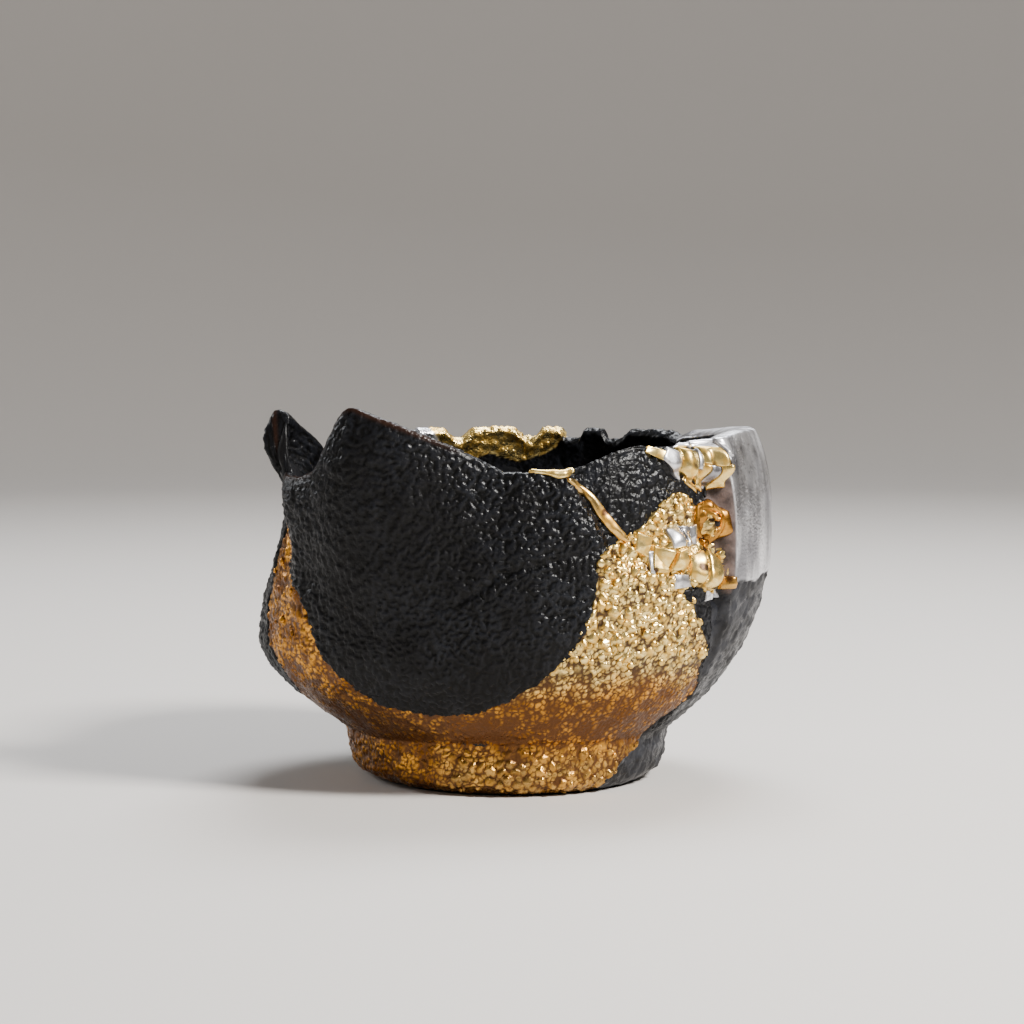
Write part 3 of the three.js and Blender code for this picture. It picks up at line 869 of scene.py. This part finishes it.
def buildPlates(name, grids, seed):
    spots, faces, sharp, warmth, crumples = [], [], [], [], []
    count = 0
    for turns, heights, lift, edge, warm in grids:
        turns, heights, lift, edge = np.broadcast_arrays(turns, heights, lift, edge)
        rows, columns = turns.shape
        t, s = turns.ravel(), runAt(turns, heights).ravel()
        base, normals = sheetPoint(t, s), sheetNormal(t, s)
        crumple = 1 - 2.4 * np.abs(softNoise(base, plate["creaseWave"], seed))
        raised = lift.ravel() + plate["crumple"] * crumple
        out = mix(-plate["dive"], raised, ramp(edge.ravel(), 0, 0.12))
        spots += [base + normals * out[:, None], base - normals * plate["depth"]]
        number = count + np.arange(rows * columns).reshape(rows, columns)
        low, right = number[:-1, :-1].ravel(), number[1:, :-1].ravel()
        high, left = number[1:, 1:].ravel(), number[:-1, 1:].ravel()
        under = rows * columns
        faces += np.stack([low, right, high, left], 1).tolist()
        faces += (np.stack([left, high, right, low], 1) + under).tolist()
        ring = [int(number[spot]) for spot in ringOf(0, rows - 1, 0, columns - 1)]
        for start, end in zip(ring, ring[1:] + ring[:1]):
            faces.append([end, start, start + under, end + under])
            sharp.append((start, end))
        warmth.append(np.full(2 * under, warm))
        # Painted shade: the relief value follows the crumple, so in the gold foil the hollows of each plate
        # take the darker gap tone.
        crumples.append(np.tile(0.5 + 0.5 * crumple, 2))
        count += 2 * under
    piece = meshObject(name, np.concatenate(spots), faces)
    sharpenEdges(piece, sharp)
    addAttribute(piece, "warm", np.concatenate(warmth))
    addAttribute(piece, "relief", np.concatenate(crumples))
    return reported(piece)


goldLeafPiece = buildPlates("gold_leaves", [leafGrid(leaf) for leaf in goldLeaves], 151)
goldFoldPiece = buildPlates("gold_folds", [stripGrid(strip) for strip in goldStrips], 161)
veinPiece = buildPlates("gold_vein", [stripGrid(strip) for strip in goldVein], 171)
silverLeafPiece = buildPlates("silver_leaves", [leafGrid(leaf) for leaf in silverLeaves], 181)


# Finishes: each is a group that gives a colour, a roughness, a metal share and a height

def setSockets(tree, sockets, values):  # links what is a socket and sets what is a number
    for key, value in values.items():
        if isinstance(value, bpy.types.NodeSocket):
            tree.links.new(value, sockets[key])
        else:
            sockets[key].default_value = value


def addNode(tree, kind, settings=None, sockets=None):
    made = tree.nodes.new(kind)
    for key, value in (settings or {}).items():
        setattr(made, key, value)
    setSockets(tree, made.inputs, sockets or {})
    return made


def objectCoords(tree):
    return addNode(tree, "ShaderNodeTexCoord").outputs["Object"]


def noiseNode(tree, scale, detail=3.0, rough=0.5):  # scale is per metre
    sockets = {"Vector": objectCoords(tree), "Scale": scale, "Detail": detail, "Roughness": rough}
    return addNode(tree, "ShaderNodeTexNoise", None, sockets).outputs["Fac"]


def remap(tree, value, a, b, low=0.0, high=1.0):
    sockets = {"Value": value, "From Min": a, "From Max": b, "To Min": low, "To Max": high}
    smooth = {"interpolation_type": "SMOOTHSTEP"}
    return addNode(tree, "ShaderNodeMapRange", smooth, sockets).outputs["Result"]


def blendColor(tree, factor, a, b):  # a and b are sockets or (red, green, blue)
    a, b = (tone if isinstance(tone, bpy.types.NodeSocket) else (*tone, 1) for tone in (a, b))
    return addNode(tree, "ShaderNodeMix", {"data_type": "RGBA"}, {0: factor, 6: a, 7: b}).outputs[2]


def shade(tree, value, a, b, dark, light):  # dark where the value is a or less, light from b upwards
    return blendColor(tree, remap(tree, value, a, b), dark, light)


def blendValue(tree, factor, a, b):
    return addNode(tree, "ShaderNodeMix", {"data_type": "FLOAT"}, {0: factor, 2: a, 3: b}).outputs[0]


def readAttribute(tree, name):
    return addNode(tree, "ShaderNodeAttribute", {"attribute_name": name}).outputs["Fac"]


def finishGroup(name, inputs, makeValues):  # makeValues gives a socket for each output
    group = bpy.data.node_groups.new(name, "ShaderNodeTree")
    for label, value in inputs.items():
        socket = group.interface.new_socket(name=label, in_out="INPUT", socket_type="NodeSocketFloat")
        socket.default_value = value
    given = group.nodes.new("NodeGroupInput")
    values = makeValues(group, given.outputs)
    for label in values:
        kind = "NodeSocketColor" if label == "Color" else "NodeSocketFloat"
        group.interface.new_socket(name=label, in_out="OUTPUT", socket_type=kind)
    result = group.nodes.new("NodeGroupOutput")
    for label, value in values.items():
        group.links.new(value, result.inputs[label])
    return group


# The black glaze's gap tone is painted shade: the valleys between the leather ridges are coloured darker than
# the ridges.
blackTones = {"gapShade": (0.0015, 0.0015, 0.0015), "dark": (0.004, 0.004, 0.005), "light": (0.010, 0.011, 0.014),
              "lip": (0.018, 0.008, 0.005)}


def blackValues(tree, given):
    cloud, grain = noiseNode(tree, 90.0, 4.0), noiseNode(tree, 1150.0, 1.5)
    ridge = shade(tree, cloud, 0.35, 0.7, blackTones["dark"], blackTones["light"])
    # Painted shade: where the relief is low, in the valleys, the colour turns to the darker gap tone.
    color = blendColor(tree, given["Relief"], blackTones["gapShade"], ridge)
    color = blendColor(tree, given["Lip"], color, blackTones["lip"])
    return {"Color": color, "Roughness": remap(tree, cloud, 0.3, 0.7, 0.40, 0.27), "Height": grain}


# The gold's gap tones are painted shade: the hollows between the nuggets are coloured a darker brown than
# their tops.
goldTones = {"dull": (0.74, 0.46, 0.10), "bright": (1.0, 0.76, 0.28), "gapShade": (0.060, 0.032, 0.014),
             "brown": (0.20, 0.075, 0.012), "copper": (0.72, 0.33, 0.045), "copperGapShade": (0.110, 0.042, 0.010)}


def goldValues(tree, given):
    cloud, speck, grain = noiseNode(tree, 140.0, 4.0), noiseNode(tree, 600.0), noiseNode(tree, 1700.0)
    bright = shade(tree, speck, 0.35, 0.65, goldTones["dull"], goldTones["bright"])
    copper = shade(tree, cloud, 0.35, 0.65, goldTones["brown"], goldTones["copper"])
    top = blendColor(tree, given["Warm"], bright, copper)
    # Painted shade: low relief, in the gaps and pits, takes the darker gap tone and a lower metal share.
    gapShade = blendColor(tree, given["Warm"], goldTones["gapShade"], goldTones["copperGapShade"])
    color = shade(tree, given["Relief"], 0.05, 0.45, gapShade, top)
    metal = remap(tree, given["Relief"], 0.05, 0.4, 0.75)
    rough = remap(tree, speck, 0.3, 0.7, 0.40, 0.22)
    return {"Color": color, "Roughness": rough, "Metallic": metal, "Height": grain}


# The streaks between the dark and the bright silver are partly the drawn grain of the metal and partly
# painted highlight in long upright bands.
silverTones = {"dark": (0.27, 0.27, 0.29), "bright": (0.86, 0.86, 0.88), "tarnish": (0.13, 0.12, 0.13)}
drawnUp = (1, 1, 0.22)  # stretches the streaks upwards


def silverValues(tree, given):
    cloud, fine, grain = noiseNode(tree, 110.0, 4.0), noiseNode(tree, 900.0), noiseNode(tree, 1500.0, 2.0)
    drawn = {0: objectCoords(tree), 1: drawnUp}
    drawn = addNode(tree, "ShaderNodeVectorMath", {"operation": "MULTIPLY"}, drawn).outputs[0]
    streak = addNode(tree, "ShaderNodeTexNoise", None, {"Vector": drawn, "Scale": 230.0}).outputs["Fac"]
    # Painted highlight: the drawn-up streaks lighten the silver in upright bands, over its own drawn grain.
    color = shade(tree, streak, 0.3, 0.7, silverTones["dark"], silverTones["bright"])
    color = blendColor(tree, remap(tree, fine, 0.55, 0.72, 0, 0.5), color, silverTones["tarnish"])
    return {"Color": color, "Roughness": remap(tree, cloud, 0.3, 0.7, 0.44, 0.24), "Height": grain}


stoneTones = {"dark": (0.003, 0.003, 0.004), "light": (0.017, 0.018, 0.022)}


def stoneValues(tree, given):
    cloud, grain = noiseNode(tree, 200.0, 5.0), noiseNode(tree, 1400.0, 4.0)
    color = shade(tree, cloud, 0.35, 0.65, stoneTones["dark"], stoneTones["light"])
    return {"Color": color, "Roughness": remap(tree, given["Relief"], 0, 1, 0.26, 0.55), "Height": grain}


clayTones = {"dark": (0.030, 0.022, 0.020), "light": (0.13, 0.095, 0.086)}


def clayValues(tree, given):
    cloud, grain = noiseNode(tree, 260.0, 5.0), noiseNode(tree, 1200.0, 4.0)
    color = shade(tree, cloud, 0.3, 0.7, clayTones["dark"], clayTones["light"])
    return {"Color": color, "Roughness": remap(tree, cloud, 0.3, 0.7, 0.6, 0.4), "Height": grain}


metalShares = {"black": 0.0, "silver": 1.0, "stone": 0.0, "clay": 0.0}  # gold's share varies in its group
finishes = {
    "black": finishGroup("black_glaze", {"Relief": 0.6, "Lip": 0.0}, blackValues),
    "gold": finishGroup("gold_lustre", {"Relief": 0.6, "Warm": 0.0}, goldValues),
    "silver": finishGroup("silver_lustre", {"Relief": 0.6}, silverValues),
    "stone": finishGroup("broken_stone", {"Relief": 0.6}, stoneValues),
    "clay": finishGroup("bare_clay", {"Relief": 0.6}, clayValues),
}


def newMaterial(name):
    material = bpy.data.materials.new(name)
    material.use_nodes = True
    return material, material.node_tree.nodes["Principled BSDF"].inputs


def finishMaterial(name, first, overlays=(), given=(), bump=0.25, bumpHeight=0.00012):
    # overlays are pairs of a finish and its mask attribute, given are the inputs read from attributes
    material, shader = newMaterial(name)
    tree = material.node_tree

    def finishNode(finish):
        made = addNode(tree, "ShaderNodeGroup", {"node_tree": finishes[finish]})
        for label in given:
            if label in made.inputs:
                tree.links.new(readAttribute(tree, label.lower()), made.inputs[label])
        metal = made.outputs["Metallic"] if "Metallic" in made.outputs else metalShares[finish]
        return made.outputs["Color"], made.outputs["Roughness"], metal, made.outputs["Height"]

    color, rough, metal, height = finishNode(first)
    for finish, mask in overlays:
        overColor, overRough, overMetal, overHeight = finishNode(finish)
        share = readAttribute(tree, mask)
        color = blendColor(tree, share, color, overColor)
        rough = blendValue(tree, share, rough, overRough)
        metal = blendValue(tree, share, metal, overMetal)
        height = blendValue(tree, share, height, overHeight)
    sockets = {"Height": height, "Strength": bump, "Distance": bumpHeight}
    normal = addNode(tree, "ShaderNodeBump", None, sockets).outputs["Normal"]
    setSockets(tree, shader, {"Base Color": color, "Roughness": rough, "Metallic": metal, "Normal": normal})
    return material


def dress(piece, material, shine=0.5):  # shine is how strongly the plain, unmetalled parts mirror
    material.node_tree.nodes["Principled BSDF"].inputs["Specular IOR Level"].default_value = shine
    piece.data.materials.append(material)


relief, reliefWarm = ("Relief",), ("Relief", "Warm")
sideOverlays = (("silver", "silver"), ("clay", "clay"))
backOverlays = (("gold", "gold"), ("silver", "silver"))
foil = finishMaterial("gold_foil", "gold", (), reliefWarm, 0.15)
dress(skinPiece, finishMaterial("black_skin", "black", (), ("Relief", "Lip"), 0.8, 0.0003), 0.16)
dress(goldPiece, finishMaterial("gold_crust", "gold", (), reliefWarm, 0.5, 0.0002))
dress(sidePiece, finishMaterial("torn_side", "stone", sideOverlays, relief, 0.5, 0.0003), 0.3)
dress(backPiece, finishMaterial("back_skin", "black", backOverlays, relief, 0.8, 0.0003), 0.16)
dress(bowlPiece, finishMaterial("bowl_inside", "black", (("silver", "silver"),), (), 0.5, 0.0002), 0.25)
dress(goldLeafPiece, foil)
dress(goldFoldPiece, foil)
dress(veinPiece, foil)
dress(silverLeafPiece, finishMaterial("silver_foil", "silver", (), (), 0.2))
print("stage: materials made")


# Round gold nuggets scattered over the crust, half sunk in it

nuggets = {"apart": 0.0016, "most": 300000.0, "smallest": 0.0003, "largest": 0.0012, "flat": 0.5,
           "uneven": 0.0011, "seed": 7}


def scatterTree():
    tree = bpy.data.node_groups.new("nugget_scatter", "GeometryNodeTree")
    inputs = {"Crust": "Geometry", "Apart": "Float", "Most": "Float", "Smallest": "Float", "Largest": "Float",
              "Flat": "Float", "Uneven": "Float", "Seed": "Int", "Finish": "Material"}
    for label, kind in inputs.items():
        tree.interface.new_socket(name=label, in_out="INPUT", socket_type="NodeSocket" + kind)
    tree.interface.new_socket(name="Nuggets", in_out="OUTPUT", socket_type="NodeSocketGeometry")
    given, result = tree.nodes.new("NodeGroupInput").outputs, tree.nodes.new("NodeGroupOutput")

    def multiplied(a, b):
        return addNode(tree, "ShaderNodeMath", {"operation": "MULTIPLY"}, {0: a, 1: b}).outputs[0]

    def attribute(name):
        named = addNode(tree, "GeometryNodeInputNamedAttribute", {"data_type": "FLOAT"}, {"Name": name})
        return named.outputs["Attribute"]

    def changed(kind, geometry, sockets=None):  # a node that passes its geometry on
        return addNode(tree, kind, None, {"Geometry": geometry, **(sockets or {})}).outputs["Geometry"]

    spread = {"Mesh": given["Crust"], "Distance Min": given["Apart"], "Density Max": given["Most"],
              "Density Factor": multiplied(attribute("scatter"), attribute("face")), "Seed": given["Seed"]}
    points = addNode(tree, "GeometryNodeDistributePointsOnFaces", {"distribute_method": "POISSON"}, spread)
    ball = addNode(tree, "GeometryNodeMeshUVSphere", None, {"Segments": 8, "Rings": 5, "Radius": 1.0})
    size = addNode(tree, "FunctionNodeRandomValue", {"data_type": "FLOAT"})
    sizes = {"Min": given["Smallest"], "Max": given["Largest"], "Seed": given["Seed"]}
    for socket in size.inputs:
        if socket.enabled and socket.name in sizes:
            tree.links.new(sizes[socket.name], socket)
    grown = next(socket for socket in size.outputs if socket.enabled)
    sides = {"X": grown, "Y": grown, "Z": multiplied(grown, given["Flat"])}
    placed = addNode(tree, "GeometryNodeInstanceOnPoints", None, {
        "Points": points.outputs["Points"], "Instance": ball.outputs["Mesh"],
        "Rotation": points.outputs["Rotation"],
        "Scale": addNode(tree, "ShaderNodeCombineXYZ", None, sides).outputs[0],
    })
    noise = addNode(tree, "ShaderNodeTexNoise", None, {"Scale": 900.0, "Detail": 2.0}).outputs["Color"]
    middle = addNode(tree, "ShaderNodeVectorMath", {"operation": "SUBTRACT"}, {0: noise, 1: (0.5, 0.5, 0.5)})
    push = {0: middle.outputs[0], "Scale": given["Uneven"]}
    push = addNode(tree, "ShaderNodeVectorMath", {"operation": "SCALE"}, push).outputs[0]
    real = changed("GeometryNodeRealizeInstances", placed.outputs["Instances"])
    smooth = changed("GeometryNodeSetShadeSmooth", changed("GeometryNodeSetPosition", real, {"Offset": push}))
    finished = changed("GeometryNodeSetMaterial", smooth, {"Material": given["Finish"]})
    tree.links.new(finished, result.inputs["Nuggets"])
    return tree


def buildNuggets():
    tree = scatterTree()
    host = addObject("nugget_host", goldPiece.data)
    modifier = host.modifiers.new("scatter", "NODES")
    modifier.node_group = tree
    values = {label.capitalize(): value for label, value in nuggets.items()}
    values["Finish"] = finishMaterial("gold_nugget", "gold", (), ("Warm",), 0.3)
    for item in tree.interface.items_tree:
        if item.in_out == "INPUT" and item.name in values:
            modifier[item.identifier] = values[item.name]
    bpy.context.view_layer.update()
    evaluated = host.evaluated_get(bpy.context.evaluated_depsgraph_get())
    mesh = bpy.data.meshes.new_from_object(evaluated)
    bpy.data.objects.remove(host)
    spots = np.zeros(len(mesh.vertices) * 3)
    mesh.vertices.foreach_get("co", spots)
    spots = np.clip(spots.reshape(-1, 3), boxLow * mm, boxHigh * mm)
    mesh.vertices.foreach_set("co", spots.ravel())
    return reported(addObject("gold_nuggets", mesh))


nuggetPiece = buildNuggets()


# Floor, lights and camera

studio = {"rings": (0.25, 0.8, 1.0), "coveRadius": 0.6, "coveSteps": 12, "wallTop": 1.8, "sides": 96,
          "color": (0.56, 0.535, 0.51, 1), "rough": 0.75, "air": (0.80, 0.79, 0.80, 1), "airStrength": 0.13}


def buildFloor():  # a round paper floor that curves up into its wall
    edge, cove = studio["rings"][-1], studio["coveRadius"]
    curve = np.radians(90) * np.arange(1, studio["coveSteps"] + 1) / studio["coveSteps"]
    radii = [*studio["rings"], *(edge + cove * np.sin(curve)), edge + cove]
    heights = [*(0 for _ in studio["rings"]), *(cove * (1 - np.cos(curve))), studio["wallTop"]]
    turns = -360 * np.arange(studio["sides"]) / studio["sides"]
    rings = [place(radius, turns, np.full(len(turns), height)) for radius, height in zip(radii, heights)]
    faces = ringFaces(1, len(rings), len(turns))
    faces += [[0, 1 + (i + 1) % len(turns), 1 + i] for i in range(len(turns))]
    floor = smoothObject("studio_floor", np.concatenate([[(0, 0, 0)], *rings]), faces)
    paper, shader = newMaterial("pale_paper")
    shader["Base Color"].default_value = studio["color"]
    shader["Roughness"].default_value = studio["rough"]
    floor.data.materials.append(paper)
    return floor


buildFloor()

lights = {
    "keyRight": {"at": (0.52, -0.34, 0.60), "size": 0.18, "watts": 19.0, "color": (1.0, 0.97, 0.93)},
    "topBack": {"at": (0.10, 0.40, 0.75), "size": 0.40, "watts": 10.0, "color": (0.95, 0.97, 1.0)},
    "leftBack": {"at": (-0.70, 0.30, 0.40), "size": 0.30, "watts": 2.2, "color": (0.93, 0.96, 1.0)},
}
lookAt = Vector((0, 0, 0.045))
for name, spec in lights.items():
    data = bpy.data.lights.new(name, "AREA")
    data.size = spec["size"]
    data.energy = spec["watts"]
    data.color = spec["color"]
    lamp = addObject(name, data)
    lamp.location = spec["at"]
    lamp.rotation_euler = (lookAt - lamp.location).to_track_quat("-Z", "Y").to_euler()

world = bpy.data.worlds.new("studio")
world.use_nodes = True
world.node_tree.nodes["Background"].inputs["Color"].default_value = studio["air"]
world.node_tree.nodes["Background"].inputs["Strength"].default_value = studio["airStrength"]
bpy.context.scene.world = world

view = {"sensor": 36.0, "lens": 93.16, "at": (-0.00072, -0.640, 0.1143), "pitch": 4.574}
cameraData = bpy.data.cameras.new("camera")
cameraData.sensor_width = view["sensor"]
cameraData.lens = view["lens"]
cameraData.clip_start = 0.01
camera = addObject("camera", cameraData)
camera.location = view["at"]
camera.rotation_euler = (math.radians(90 - view["pitch"]), 0, 0)
bpy.context.scene.camera = camera
print("stage: studio ready")


# Every piece is part of the one fired body

pieces = (bowlPiece, skinPiece, goldPiece, sidePiece, backPiece, goldLeafPiece, goldFoldPiece, veinPiece,
          silverLeafPiece, nuggetPiece)
for piece in pieces:
    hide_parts("server_body")
    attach(piece, "root")

print("stage: finished")
